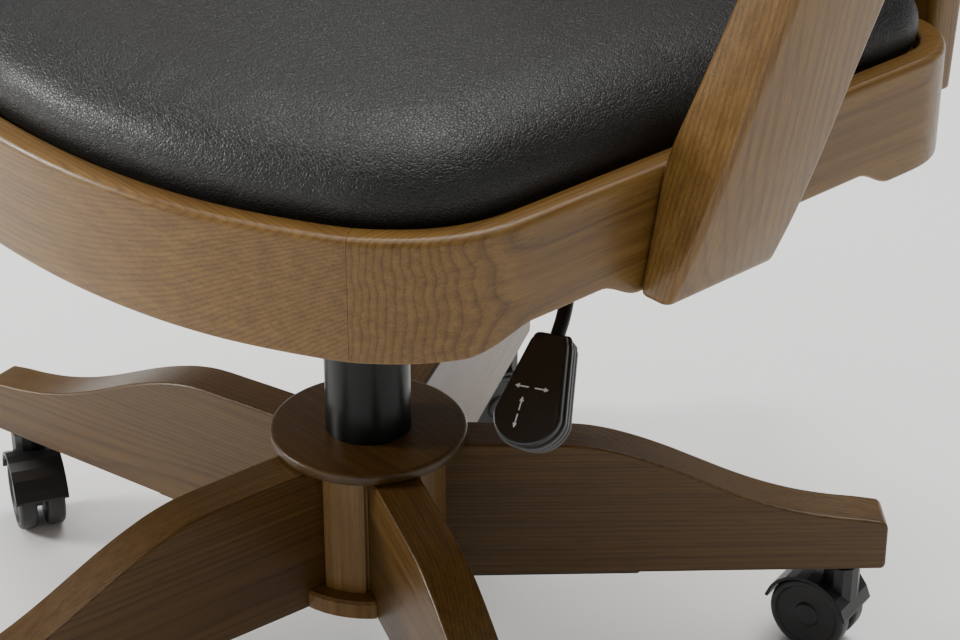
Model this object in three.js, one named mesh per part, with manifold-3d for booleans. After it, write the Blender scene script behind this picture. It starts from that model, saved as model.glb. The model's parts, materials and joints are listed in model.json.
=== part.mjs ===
// Swivel office chair: a wooden seat frame with a domed leather cushion on a gas column and a five-leg wooden base on casters.
// Units are millimetres, +Z is up. The origin lies on the column's axis at floor level.
// The chair faces -Y, and +X is the sitter's left-hand side.
import * as THREE from "three";
import { mergeVertices } from "three/addons/utils/BufferGeometryUtils.js";
import Module from "manifold-3d";

const wasm = await Module();
wasm.setup();
const { Manifold, Mesh: MMesh } = wasm;

// ---------------------------------------------------------------- driving dimensions
const GAP = 0.3; // clearance between touching pieces
const Z_HUB = 165; // top face of the hub's cap
const Z_LEG_BOTTOM = 66.3; // flat underside of the legs
const CAP_R = 58, CAP_T = 7.5;
const CORE_R = 48;
const DISC_R = 57.5, DISC_T = 11;
const LEG_W = 28; // board thickness of a leg
const LEG_R0 = 34.3; // inner end, housed in the core
const LEG_AZ0 = 49.5; // azimuth of the first leg, degrees from +X towards +Y
const TUBE_R = 25; // column outer tube
const TUBE_Z0 = 72, TUBE_Z1 = 318;
const CYL_R = 14; // pressure tube
const CASTER_R = 286; // caster stems, distance from the column's axis
const WHEEL_R = 25, WHEEL_W = 14;
const RIM_Z = 417; // top edge of the seat frame
const APRON_Z = 354.5; // lower edge of the seat frame
const RIM_T = 14; // visible rim around the cushion
const RAIL_T = 26; // full thickness of a rail below its rebate
const REBATE_Z = 397; // ledge that carries the seat board
const SIDE_X = 239.3; // outer face of a side rail
const SEAT_BACK_Y = 228;
const ARM_Z = 640; // underside of an armrest
const CUSHION_TOP = 462;
const LIFT = 90; // travel of the gas lift

const rad = (d) => (d * Math.PI) / 180;

// ---------------------------------------------------------------- materials
const std = (color, roughness, metalness = 0) => () =>
  new THREE.MeshStandardMaterial({ color, roughness, metalness });
const wood = std(0x7a5a38, 0.42);
const leather = std(0x1a1a19, 0.5);
const blackGloss = std(0x0c0d0d, 0.18, 0.2);
const steel = std(0xa8abad, 0.3, 0.9);
const blackSteel = std(0x161617, 0.45, 0.5);
const plastic = std(0x121213, 0.5);
const plasticGrey = std(0x2a2a2c, 0.55);
const rubber = std(0x18181a, 0.8);
const ply = std(0xb9986a, 0.7);

// ---------------------------------------------------------------- solid helpers
function toSolid(geometry, matrix) {
  const g = geometry.clone();
  if (matrix) g.applyMatrix4(matrix);
  g.deleteAttribute("normal");
  g.deleteAttribute("uv");
  const m = mergeVertices(g, 1e-4);
  const make = (tri) => new Manifold(new MMesh({ numProp: 3, vertProperties: m.attributes.position.array, triVerts: tri }));
  const tri = new Uint32Array(m.index.array), solid = make(tri);
  if (solid.volume() >= 0) return solid;
  for (let i = 0; i < tri.length; i += 3) [tri[i + 1], tri[i + 2]] = [tri[i + 2], tri[i + 1]];
  return make(tri);
}
function toGeometry(solid) {
  const m = solid.getMesh();
  const g = new THREE.BufferGeometry();
  g.setAttribute("position", new THREE.BufferAttribute(new Float32Array(m.vertProperties), 3));
  g.setIndex(new THREE.BufferAttribute(new Uint32Array(m.triVerts), 1));
  const flat = g.toNonIndexed();
  flat.computeVertexNormals();
  return flat;
}
const chair = new THREE.Group();
function add(name, thing, material, matrix) {
  let solid = thing.isBufferGeometry ? toSolid(thing) : thing;
  // Only the main body is kept where a cut leaves a sliver.
  const bodies = solid.decompose();
  if (bodies.length > 1) solid = bodies.sort((a, b) => b.volume() - a.volume())[0];
  const geometry = toGeometry(solid);
  const mesh = new THREE.Mesh(geometry, material());
  mesh.name = name;
  if (matrix) mesh.applyMatrix4(matrix);
  chair.add(mesh);
  return mesh;
}
const T = (x, y, z) => new THREE.Matrix4().makeTranslation(x, y, z);
const RX = (d) => new THREE.Matrix4().makeRotationX(rad(d));
const RY = (d) => new THREE.Matrix4().makeRotationY(rad(d));
const RZ = (d) => new THREE.Matrix4().makeRotationZ(rad(d));
const mul = (...ms) => ms.reduce((a, b) => a.clone().multiply(b));

const shape = (pts) => new THREE.Shape(pts.map(([x, y]) => new THREE.Vector2(x, y)));
// A prism of an outline in X and Y, from z0 to z1.
const prismZ = (pts, z0, z1, holes = []) => {
  const s = shape(pts);
  for (const h of holes) s.holes.push(new THREE.Path(h.map(([x, y]) => new THREE.Vector2(x, y))));
  return new THREE.ExtrudeGeometry(s, { depth: z1 - z0, bevelEnabled: false, curveSegments: 16 }).translate(0, 0, z0);
};
// A prism of an outline given in (Y, Z), from x0 to x1.
const prismX = (pts, x0, x1) =>
  new THREE.ExtrudeGeometry(shape(pts), { depth: x1 - x0, bevelEnabled: false })
    .applyMatrix4(new THREE.Matrix4().set(0, 0, 1, x0, 1, 0, 0, 0, 0, 1, 0, 0, 0, 0, 0, 1));
// A prism of an outline given in (X, Z), from y1 down to y0.
const prismY = (pts, y0, y1) =>
  new THREE.ExtrudeGeometry(shape(pts), { depth: y1 - y0, bevelEnabled: false })
    .applyMatrix4(new THREE.Matrix4().set(1, 0, 0, 0, 0, 0, -1, y1, 0, 1, 0, 0, 0, 0, 0, 1));
// A turned piece about +Z from [radius, z] points that start and end on the axis or close on themselves.
const turned = (pts, seg = 32) =>
  new THREE.LatheGeometry(pts.map(([r, z]) => new THREE.Vector2(r, z)), seg)
    .applyMatrix4(new THREE.Matrix4().set(1, 0, 0, 0, 0, 0, -1, 0, 0, 1, 0, 0, 0, 0, 0, 1));
const ring = (r0, r1, z0, z1, seg = 32) => turned([[r0, z0], [r1, z0], [r1, z1], [r0, z1], [r0, z0]], seg);
const rod = (r, z0, z1, seg = 20) => turned([[0, z0], [r, z0], [r, z1], [0, z1]], seg);
const boxAt = (x0, x1, y0, y1, z0, z1) =>
  new THREE.BoxGeometry(x1 - x0, y1 - y0, z1 - z0).translate((x0 + x1) / 2, (y0 + y1) / 2, (z0 + z1) / 2);
// The matrix that turns +Z to a direction and moves it to a point.
const along = (p, d) =>
  new THREE.Matrix4().compose(
    new THREE.Vector3(...p),
    new THREE.Quaternion().setFromUnitVectors(new THREE.Vector3(0, 0, 1), new THREE.Vector3(...d).normalize()),
    new THREE.Vector3(1, 1, 1),
  );
// A closed skin over rings of equal length, listed from bottom to top, with flat end caps.
function loft(rings) {
  const n = rings[0].length, pos = [], idx = [];
  for (const r of rings) for (const p of r) pos.push(...p);
  const centre = (r) => r.reduce((a, p) => [a[0] + p[0] / n, a[1] + p[1] / n, a[2] + p[2] / n], [0, 0, 0]);
  const a = pos.length / 3;
  pos.push(...centre(rings[0]), ...centre(rings.at(-1)));
  for (let k = 0; k + 1 < rings.length; k++)
    for (let i = 0; i < n; i++) {
      const j = (i + 1) % n, p = k * n + i, q = k * n + j;
      idx.push(p, q, q + n, p, q + n, p + n);
    }
  const t = (rings.length - 1) * n;
  for (let i = 0; i < n; i++) {
    const j = (i + 1) % n;
    idx.push(a, j, i, a + 1, t + i, t + j);
  }
  const g = new THREE.BufferGeometry();
  g.setAttribute("position", new THREE.Float32BufferAttribute(pos, 3));
  g.setIndex(idx);
  return g;
}
// A swept tube of a section [u, v] along points, as a closed body. u follows the given side vector.
function sweep(points, sectionAt, side) {
  const rings = points.map((p, i) => {
    const a = new THREE.Vector3(...points[Math.max(0, i - 1)]), b = new THREE.Vector3(...points[Math.min(points.length - 1, i + 1)]);
    const t = b.sub(a).normalize();
    const u = new THREE.Vector3(...side).addScaledVector(t, -t.dot(new THREE.Vector3(...side))).normalize();
    const v = new THREE.Vector3().crossVectors(t, u);
    return sectionAt(i / (points.length - 1)).map(([x, y]) => [
      p[0] + u.x * x + v.x * y, p[1] + u.y * x + v.y * y, p[2] + u.z * x + v.z * y,
    ]);
  });
  return loft(rings);
}
const spline = (pts, n) =>
  new THREE.CatmullRomCurve3(pts.map((p) => new THREE.Vector3(...p)), false, "centripetal").getPoints(n).map((p) => [p.x, p.y, p.z]);
const roundRect = (w, h, r, k = 2) => {
  const out = [];
  for (const [cx, cy, a0] of [[w / 2 - r, h / 2 - r, 0], [-w / 2 + r, h / 2 - r, 90], [-w / 2 + r, -h / 2 + r, 180], [w / 2 - r, -h / 2 + r, 270]])
    for (let i = 0; i <= k; i++) out.push([cx + r * Math.cos(rad(a0 + (90 * i) / k)), cy + r * Math.sin(rad(a0 + (90 * i) / k))]);
  return out;
};
// The screw's head and shank about +Z, head on top with its seat at z = 0.
const screw = (rh, hh, rs, len) => turned([[0, -len], [rs, -len], [rs, 0], [rh, 0], [rh, hh * 0.6], [rh * 0.75, hh], [0, hh]], 12);

// ---------------------------------------------------------------- five-leg base
// Side outline of a leg as [distance from the axis, height].
const legTop = [
  [LEG_R0, 157.2], [60, 157.2], [95, 156.3], [125, 155.1], [141, 152.1], [158.5, 146.6], [176, 139.6], [195, 130.8],
  [215, 121.5], [235, 113.6], [255, 107.6], [275, 103.6], [292, 101.6], [304, 99.4], [309.5, 94.5],
];
const legOutline = [[LEG_R0, Z_LEG_BOTTOM], [306, Z_LEG_BOTTOM], [309.5, Z_LEG_BOTTOM + 3.5], ...legTop.slice().reverse()];
const legAz = [0, 1, 2, 3, 4].map((i) => LEG_AZ0 + 72 * i);
const legBlank = toSolid(prismY(legOutline, -LEG_W / 2, LEG_W / 2));
// A leg's top arrises are eased with a small chamfer.
const stemHole = toSolid(rod(6.0, 0, 104.5 - 8, 12), T(CASTER_R, 0, 0));
const tubeRoom = toSolid(rod(TUBE_R + GAP, 0, 400, 40));
const leg = legBlank.subtract(stemHole);
legAz.forEach((a, i) => add("base_leg_" + (i + 1), leg, wood, RZ(a)));

let core = toSolid(rod(CORE_R, Z_LEG_BOTTOM + DISC_T + GAP, Z_HUB - CAP_T - GAP, 50));
let disc = toSolid(turned([[0, Z_LEG_BOTTOM], [DISC_R, Z_LEG_BOTTOM], [DISC_R, Z_LEG_BOTTOM + DISC_T - 1.6], [DISC_R - 1.6, Z_LEG_BOTTOM + DISC_T], [0, Z_LEG_BOTTOM + DISC_T]], 50));
for (const a of legAz) {
  const slot = toSolid(boxAt(LEG_R0 - GAP, 80, -LEG_W / 2 - GAP, LEG_W / 2 + GAP, 0, 300), RZ(a));
  // A shallow quirk runs down the core beside each leg.
  const quirk = toSolid(boxAt(43, 80, -LEG_W / 2 - 3.2, LEG_W / 2 + 3.2, 0, 300), RZ(a));
  core = core.subtract(slot).subtract(quirk);
  disc = disc.subtract(slot);
}
add("hub_core", core.subtract(tubeRoom), wood);
add("hub_bottom_disc", disc.subtract(tubeRoom), wood);
add("hub_cap", turned([
  [TUBE_R + GAP, Z_HUB - CAP_T], [CAP_R - 0.8, Z_HUB - CAP_T], [CAP_R, Z_HUB - CAP_T + 1.8], [CAP_R - 0.3, Z_HUB - 2.4], [CAP_R - 3, Z_HUB],
  [TUBE_R + GAP, Z_HUB], [TUBE_R + GAP, Z_HUB - CAP_T],
], 48), wood);
// The spider plate is screwed up under the hub and the legs.
const PLATE_T = 2.4, PLATE_Z = Z_LEG_BOTTOM - GAP - PLATE_T;
let plate = toSolid(rod(52, PLATE_Z, PLATE_Z + PLATE_T, 30));
for (const a of legAz) plate = plate.add(toSolid(prismZ([[0, -11], [160, -11], [166, -5], [166, 5], [160, 11], [0, 11]], PLATE_Z, PLATE_Z + PLATE_T), RZ(a)));
// The steel hub socket that grips the column is welded to the plate.
plate = plate.add(toSolid(rod(29, 56, PLATE_Z + 0.5, 24)));
for (const a of legAz) plate = plate.subtract(toSolid(rod(2.6, 0, 100, 8), mul(RZ(a), T(150, 0, 0))));
plate = plate.subtract(toSolid(rod(22.3, 0, 100, 24)));
plate = plate.subtract(toSolid(turned([[0, 60], [24.2, 60], [25.4, 75], [0, 75]], 24)));
add("spider_plate", plate, blackSteel);

// ---------------------------------------------------------------- gas column
add("column_tube", turned([
  [11, 60.5], [23.6, 60.5], [TUBE_R, TUBE_Z0 + 8], [TUBE_R, TUBE_Z1], [22.4, TUBE_Z1], [22.4, TUBE_Z0 + 2], [11, TUBE_Z0 + 2], [11, 60.5],
], 40), blackGloss);
add("column_bush", turned([[CYL_R + GAP, 250], [22.1, 250], [22.1, TUBE_Z1 + GAP], [24.6, TUBE_Z1 + GAP], [23.6, TUBE_Z1 + 3], [CYL_R + GAP, TUBE_Z1 + 3], [CYL_R + GAP, 250]], 30), plastic);
add("gas_cylinder", turned([
  [11, 112], [CYL_R, 112], [CYL_R, 330], [CYL_R - 1, 352], [4.4, 352], [4.4, 300], [11, 296], [11, 112],
], 24), steel);
add("piston_rod", turned([[0, 55], [4.9, 55], [4.9, 57.9], [4, 57.9], [4, 60.2], [4.9, 60.2], [4.9, 214], [10.7, 214], [10.7, 224], [0, 224]], 16), steel);
add("thrust_bearing", ring(5.3, 15, TUBE_Z0 + 2 + GAP, TUBE_Z0 + 8.5, 20), steel);
add("rubber_buffer", turned([[5.3, TUBE_Z0 + 9], [13, TUBE_Z0 + 9], [12, TUBE_Z0 + 24], [5.3, TUBE_Z0 + 24], [5.3, TUBE_Z0 + 9]], 18), rubber);
add("rod_clip", turned([[4.3, 58.3], [9.5, 58.3], [9.5, 59.8], [4.3, 59.8], [4.3, 58.3]], 14), steel);
add("release_button", turned([[0, 312], [2.4, 312], [2.4, 336], [4, 336], [4, 355.5], [3, 356.5], [0, 356.5]], 12), steel);

// ---------------------------------------------------------------- seat frame
const frontCurve = [
  [SIDE_X, -88.7], [238, -112], [232.4, -131], [223.5, -147], [212.4, -160], [199.3, -172], [183, -181.6], [166, -190.5],
  [140, -202], [110, -211.6], [75, -219], [40, -223.2], [0, -224.6],
];
const BACK_R = 46;
function outline(steps = 1) {
  // Right half from the back's middle to the front's middle, then mirrored.
  const half = [[0, SEAT_BACK_Y], [95, SEAT_BACK_Y]];
  for (let i = 0; i <= 6; i++) {
    const t = rad(90 - (90 * i) / 6);
    half.push([SIDE_X - BACK_R + BACK_R * Math.cos(t), SEAT_BACK_Y - BACK_R + BACK_R * Math.sin(t)]);
  }
  half.push([SIDE_X, 90], [SIDE_X, 0], [SIDE_X, -60]);
  const c = new THREE.CatmullRomCurve3(
    [[SIDE_X, -60], [SIDE_X, -75], ...frontCurve, [-40, -223.2]].map(([x, y]) => new THREE.Vector3(x, y, 0)), false, "centripetal");
  const fine = c.getSpacedPoints(200 * steps).filter((p) => p.y < -70 && p.x > 0.5);
  const keep = [];
  let last = new THREE.Vector3(SIDE_X, -60, 0);
  for (const p of fine) {
    const spacing = p.x > 150 ? 9 : 20;
    if (p.distanceTo(last) >= spacing) { keep.push([p.x, p.y]); last = p; }
  }
  half.push(...keep.filter(([x]) => x > 6), [0, -224.6]);
  const left = half.slice(1, -1).reverse().map(([x, y]) => [-x, y]);
  return [...half, ...left].reverse(); // anticlockwise
}
const OUT = outline();
// The outline moved inwards by a distance.
function inset(pts, d) {
  const n = pts.length;
  return pts.map((p, i) => {
    const a = pts[(i + n - 1) % n], b = pts[(i + 1) % n];
    const n1 = norm([-(p[1] - a[1]), p[0] - a[0]]), n2 = norm([-(b[1] - p[1]), b[0] - p[0]]);
    const m = norm([n1[0] + n2[0], n1[1] + n2[1]]), k = d / Math.max(0.5, m[0] * n1[0] + m[1] * n1[1]);
    return [p[0] + m[0] * k, p[1] + m[1] * k];
  });
}
const norm = ([x, y]) => { const l = Math.hypot(x, y) || 1; return [x / l, y / l]; };

const rimIn = inset(OUT, RIM_T), railIn = inset(OUT, RAIL_T);
let frameSolid = toSolid(loft([
  OUT.map((p, i) => [...inset(OUT, 1.2)[i], APRON_Z]), OUT.map((p) => [...p, APRON_Z + 1.4]), OUT.map((p) => [...p, RIM_Z - 4]),
  inset(OUT, 1.1).map((p) => [...p, RIM_Z - 1.2]), inset(OUT, 3.6).map((p) => [...p, RIM_Z]),
]));
frameSolid = frameSolid.subtract(toSolid(prismZ(rimIn, REBATE_Z, RIM_Z + 5))).subtract(toSolid(prismZ(railIn, APRON_Z - 5, REBATE_Z + 1)));
// The lower edge of each side rail rises by 10 mm between the front corner and the arm post, and again behind the post.
const scallop = (y0, y1) => {
  const L = y1 - y0, pts = [[y0 - 3, APRON_Z - 6]];
  for (let i = 0; i <= 10; i++) {
    const t = i / 10, e = Math.min(1, (t * L) / 38), f = Math.min(1, ((1 - t) * L) / 26), s = (v) => v * v * (3 - 2 * v);
    pts.push([y0 + t * L, APRON_Z + 10 * s(e) * s(f)]);
  }
  pts.push([y1 + 3, APRON_Z - 6]);
  return pts.reverse();
};
for (const [y0, y1] of [[-131, -25], [48, 160]])
  for (const s of [-1, 1]) frameSolid = frameSolid.subtract(toSolid(prismX(scallop(y0, y1), s > 0 ? 150 : -260, s > 0 ? 260 : -150)));
// Vertical glue joints part the ring into four rails.
const wedge = (pts) => toSolid(prismZ(pts, 300, 500));
const CF = [200.3, -171.2], CB = [SIDE_X - 13.4, SEAT_BACK_Y - 13.4];
const kerf = GAP / 2;
const frontRegion = (k) => [[-CF[0] - 90 + k, CF[1] - 140], [CF[0] + 90 - k, CF[1] - 140], [CF[0] - k, CF[1]], [90 - k, 0 - k], [-90 + k, 0 - k], [-CF[0] + k, CF[1]]];
const rails = {
  front_rail: frameSolid.intersect(wedge(frontRegion(kerf))),
};
const backRegion = (k) => [[-CB[0] - 60 + k, CB[1] + 60], [-CB[0] + k, CB[1]], [-90 + k, 60 + k], [90 - k, 60 + k], [CB[0] - k, CB[1]], [CB[0] + 60 - k, CB[1] + 60]];
rails.back_rail = frameSolid.intersect(wedge(backRegion(kerf).reverse()));
const sides = frameSolid.subtract(wedge(frontRegion(-kerf))).subtract(wedge(backRegion(-kerf).reverse()));
rails.side_rail_left = sides.intersect(toSolid(boxAt(0, 400, -300, 300, 300, 500)));
rails.side_rail_right = sides.intersect(toSolid(boxAt(-400, 0, -300, 300, 300, 500)));
for (const [k, v] of Object.entries(rails)) add(k, v, wood);

const board = inset(OUT, RIM_T + 1);
add("seat_board", prismZ(board.map((p) => p), REBATE_Z + GAP, REBATE_Z + 10), ply);
// The cushion stands out of the frame with a rounded shoulder and a low crown.
const profile = [[16.2, 407.4], [14.8, 418], [14.4, 426], [18, 437], [26, 445.5], [38, 451.5], [58, 456], [120, CUSHION_TOP]];
const few = OUT.filter((p, i) => true);
add("seat_cushion", loft(profile.map(([d, z]) => {
  if (d < 60) return inset(few, d).map((p) => [...p, z]);
  const base = inset(few, 58), k = 1 - (d - 58) / 215;
  return base.map(([x, y]) => [x * k, y * k, z]);
})), leather);

// ---------------------------------------------------------------- arms and back
// Each arm post is a compound shape: its front view leans outwards, and its side view rakes back.
function armPost(s) {
  const back = (z) => 48 + (z - APRON_Z) * 0.20; // rear edge in the side view
  const front = (z) => -27 + (z - APRON_Z) * 0.208;
  const zs = [APRON_Z, 380, 417, 470, 530, 590, ARM_Z - 0.6];
  const side = [...zs.map((z) => [front(z), z]), ...zs.slice().reverse().map((z) => [back(z), z])].reverse();
  const inner = [[SIDE_X + GAP, APRON_Z], [SIDE_X + GAP, 417], [241.5, 427], [250, 456], [265, 508], [278, 556], [287, 600], [290, ARM_Z - 0.6]];
  const outer = [[258.7, APRON_Z], [267, 380], [276.5, 417], [285, 456], [297, 508], [308, 556], [316, 600], [319, ARM_Z - 0.6]];
  const frontView = [...inner, ...outer.slice().reverse()];
  const solid = toSolid(prismY(frontView, -60, 140)).intersect(toSolid(prismX(side, 200, 340)));
  return s > 0 ? solid : solid.mirror([1, 0, 0]);
}
add("arm_post_left", armPost(1), wood);
add("arm_post_right", armPost(-1), wood);

// Back stiles rise from the back corners and rake back.
const stileLine = (s) => spline([[s * 188, 240.6, 372], [s * 188, 244, 420], [s * 187, 252, 500], [s * 184, 268, 610], [s * 180, 290, 730], [s * 176, 318, 868], [s * 175.5, 320.5, 881]], 16);
const stileSec = () => roundRect(34, 24, 5, 1);
const crestLine = [];
for (let i = 0; i <= 16; i++) { const u = -1 + i / 8; crestLine.push([u * 205, 312.3 + 22 * (1 - u * u), 885 + 12 * (1 - u * u)]); }
const crest = (grow) => toSolid(sweep(crestLine, (t) => roundRect(30 + grow, 66 + grow - 26 * Math.pow(Math.abs(2 * t - 1), 3), 7, 2), [0, 1, 0]));
for (const [n, s] of [["left", 1], ["right", -1]])
  add("back_stile_" + n, toSolid(sweep(stileLine(s).map(([x, y, z]) => [x, y + 0.2, z]), stileSec, [1, 0, 0])).subtract(crest(2 * GAP)), wood);
// Crest rail and lower back rail, bowed to the rear between the stiles.
function backRail(zc, h, yc, bow, x1, t) {
  const line = [];
  for (let i = 0; i <= 12; i++) { const u = -1 + i / 6; line.push([u * x1, yc + bow * (1 - u * u), zc]); }
  return sweep(line, () => roundRect(t, h, 4, 1), [0, 1, 0]);
}
add("lower_back_rail", backRail(520, 52, 257.5, 14, 166.5, 20), wood);
add("crest_rail", crest(0), wood);
// A padded panel between the stiles and the two rails.
const padRings = [];
for (const [d, k] of [[-17, 0.86], [-13, 0.965], [-5, 1], [6, 1], [14, 0.96], [20, 0.84], [23, 0.5]]) {
  padRings.push(roundRect(318 * k, 284 * (k + (1 - k) * 0.4), 34 * k, 5).map(([x, z]) => {
    const zz = 696 + z, y = 270.5 + (zz - 552) * 0.19 + 14 * (1 - (x / 180) ** 2);
    return [x, y - d, zz];
  }));
}
add("back_cushion", loft(padRings), leather);

// Armrests run from the back stiles over the posts to a rounded front end.
function armrest(s) {
  const line = spline([[190, 279, 652.5], [222, 258, 652.5], [246, 232, 652], [282, 180, 651.5], [304, 100, 651], [306, 20, 651], [303, -40, 651.5], [298, -86, 652]], 16);
  const g = sweep(line, (t) => {
    const end = t > 0.86 ? Math.sqrt(Math.max(0.02, 1 - ((t - 0.86) / 0.14) ** 2)) : 1;
    const w = (34 + 18 * Math.min(1, t * 1.6)) * (0.35 + 0.65 * end);
    return roundRect(w, 22 * (0.72 + 0.28 * end), 7 * (0.5 + 0.5 * end), 2);
  }, [1, 0, 0]);
  const m = toSolid(g);
  return s > 0 ? m : m.mirror([1, 0, 0]);
}
const stiles = [1, -1].map((s) => toSolid(sweep(stileLine(s).map(([x, y, z]) => [x, y + 0.2, z]), () => roundRect(34 + 2 * GAP, 24 + 2 * GAP, 5, 1), [1, 0, 0])));
add("armrest_left", armrest(1).subtract(stiles[0]), wood);
add("armrest_right", armrest(-1).subtract(stiles[1]), wood);

// ---------------------------------------------------------------- tilt mechanism and lift lever
let housing = toSolid(boxAt(-46, 46, -80, 86, 333, 362)).subtract(toSolid(boxAt(-43.5, 43.5, -77.5, 83.5, 335.5, 380)));
housing = housing.add(toSolid(rod(22, 326, 350, 32))).subtract(toSolid(turned([[0, 320], [CYL_R + 0.35, 320], [CYL_R + 0.35, 330], [CYL_R - 0.65, 352.2], [0, 352.2]], 32)));
housing = housing.subtract(toSolid(boxAt(30, 60, 14.5, 45.5, 341, 380)));
// Holes for the tilt axle and the tension bolt.
const axleY = 66, axleZ = 352;
housing = housing.subtract(toSolid(rod(5.4, -70, 70, 20), mul(T(0, axleY, axleZ), RY(90)))).subtract(toSolid(boxAt(-5.6, 5.6, -70, -50, 320, 345)));
add("mechanism_housing", housing, blackSteel);
add("tilt_axle", rod(5.1, -60, 60, 20), steel, mul(T(0, axleY, axleZ), RY(90)));
// The tension bolt hangs from the seat plate through a slot in the housing; its knob and spring sit under the housing.
const BOLT_Y = -56;
add("tension_bolt", turned([[0, 286.3], [8.6, 286.3], [8.6, 290], [4.9, 290], [4.9, 396.4], [0, 396.4]], 20), steel, T(0, BOLT_Y, 0));
{
  const k = [];
  for (let i = 0; i < 32; i++) { const a = (2 * Math.PI * i) / 32, r = i % 4 < 2 ? 24 : 22; k.push([r * Math.cos(a), r * Math.sin(a)]); }
  const knob = toSolid(prismZ(k, 284, 306)).subtract(toSolid(turned([[0, 280], [9, 280], [9, 290.4], [5.3, 290.4], [5.3, 330], [0, 330]], 20)));
  add("tension_knob", knob, plastic, T(0, BOLT_Y, 0));
}
add("tilt_spring", (() => {
  const pts = [];
  for (let i = 0; i <= 70; i++) { const a = (2 * Math.PI * i) / 14; pts.push(new THREE.Vector3(12.5 * Math.cos(a), BOLT_Y + 12.5 * Math.sin(a), 309 + (21.5 * i) / 70)); }
  const s = new THREE.Shape(); s.absarc(0, 0, 1.5, 0, Math.PI * 2);
  return new THREE.ExtrudeGeometry(s, { steps: 60, extrudePath: new THREE.CatmullRomCurve3(pts), bevelEnabled: false, curveSegments: 2 });
})(), steel);
// The seat plate is bolted under the seat board and hangs on the axle by two ears.
let seatPlate = toSolid(boxAt(-95, 95, -105, 110, 394, 397));
for (const s of [-1, 1]) seatPlate = seatPlate.add(toSolid(prismX([[axleY - 13, 395], [axleY - 13, 345], [axleY, 339.5], [axleY + 13, 345], [axleY + 13, 395]].reverse(), s > 0 ? 48.5 : -52, s > 0 ? 52 : -48.5)));
seatPlate = seatPlate.subtract(toSolid(rod(5.4, -70, 70, 20), mul(T(0, axleY, axleZ), RY(90)))).subtract(toSolid(rod(5.2, 380, 400, 16), T(0, -56, 0)));
const boltAt = [[-78, -88], [78, -88], [-78, 94], [78, 94]];
for (const [x, y] of boltAt) seatPlate = seatPlate.subtract(toSolid(rod(3.4, 380, 400, 12), T(x, y, 0)));
add("seat_plate", seatPlate, blackSteel);
// The release arm rocks in a bracket on the housing's side. Its inner end reaches over the column's button, its outer eye carries the lever.
const ROCK = [56, 30, 352], EYE = [82, 30, 352];
{
  let b = toSolid(boxAt(46.3, 66, 15, 45, 341.5, 359)).subtract(toSolid(boxAt(40, 70, 21.5, 38.5, 344, 365)));
  b = b.subtract(toSolid(rod(3.2, -50, 50, 16), mul(T(...ROCK), RX(90))));
  add("lever_bracket", b, blackSteel);
  let arm = toSolid(sweep(spline([[0, 0, 360.4], [24, 12.5, 360], [40, 23, 356.5], [56, 30, 352], [70, 30, 351], [82, 30, 351]], 12), () => roundRect(8, 4.6, 1.2, 1), [0, 1, 0]));
  arm = arm.add(toSolid(rod(2.9, -14.6, 14.6, 16), mul(T(...ROCK), RX(90)))).add(toSolid(rod(6.2, 348.4, 352.4, 16), T(EYE[0], EYE[1], 0)));
  arm = arm.subtract(toSolid(rod(6.6, 352.4, 370, 16), T(EYE[0], EYE[1], 0))).subtract(toSolid(rod(2.7, 330, 370, 14), T(EYE[0], EYE[1], 0)));
  add("release_arm", arm, blackSteel);
}
const leverLine = [[82, 30, 355], [93, 30, 354], [110, 29.3, 347], [131, 25, 333.5], [147, 16.5, 320.5], [156.5, 7.5, 309.5], [161.2, 0.53, 301.6], [164.56, -7.2, 293.06], [167.38, -13.64, 285.95]];
{
  let r = toSolid(sweep(spline(leverLine, 20), () => roundRect(7.8, 7.8, 2.6, 1), [0, 0, 1]));
  r = r.subtract(toSolid(boxAt(60, 97, 10, 50, 340, 352.8))).add(toSolid(rod(6.2, 352.8, 357.5, 20), T(EYE[0], EYE[1], 0))).add(toSolid(rod(2.4, 347, 353, 14), T(EYE[0], EYE[1], 0)));
  add("lever_rod", r, blackSteel);
}
// The paddle's two halves: a flat top face and a deeper shell under it. It hangs down from the rod and its face looks to the front.
const PADDLE_L = 60.3;
const paddleM = new THREE.Matrix4().set(
  0.28205, 0.95063, 0.12941, 164.58,
  -0.64432, 0.28763, -0.7086, -11.68,
  -0.71084, 0.11648, 0.69364, 297.13,
  0, 0, 0, 1);
const paddleOutline = (grow) => {
  const up = [];
  for (let i = 0; i <= 12; i++) {
    const x = i < 5 ? (44 * i) / 5 : 44 + (PADDLE_L + grow - 44) * Math.sin((Math.PI / 2) * ((i - 5) / 7));
    let h = 9.8 + (10.1 * Math.min(x, 46)) / 46;
    if (x > 44) h = 19.6 * Math.sqrt(Math.max(0, 1 - ((x - 44) / (PADDLE_L + grow - 44 + 0.2)) ** 2));
    up.push([x, Math.max(1.2, h + grow)]);
  }
  return [...up.map(([x, y]) => [x, -y]), ...up.slice().reverse()];
};
{
  const room = toSolid(sweep([...spline(leverLine, 20).slice(-8), [167.9, -14.9, 284.6]], () => roundRect(8.5, 8.5, 2.8, 1), [0, 0, 1]), paddleM.clone().invert());
  add("paddle_top", toSolid(prismZ(paddleOutline(0), -4.2, 0)).subtract(room), plastic, paddleM);
  add("paddle_shell", toSolid(prismZ(paddleOutline(1.2), -16.5, -4.5)).subtract(room), plasticGrey, paddleM);
}

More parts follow.
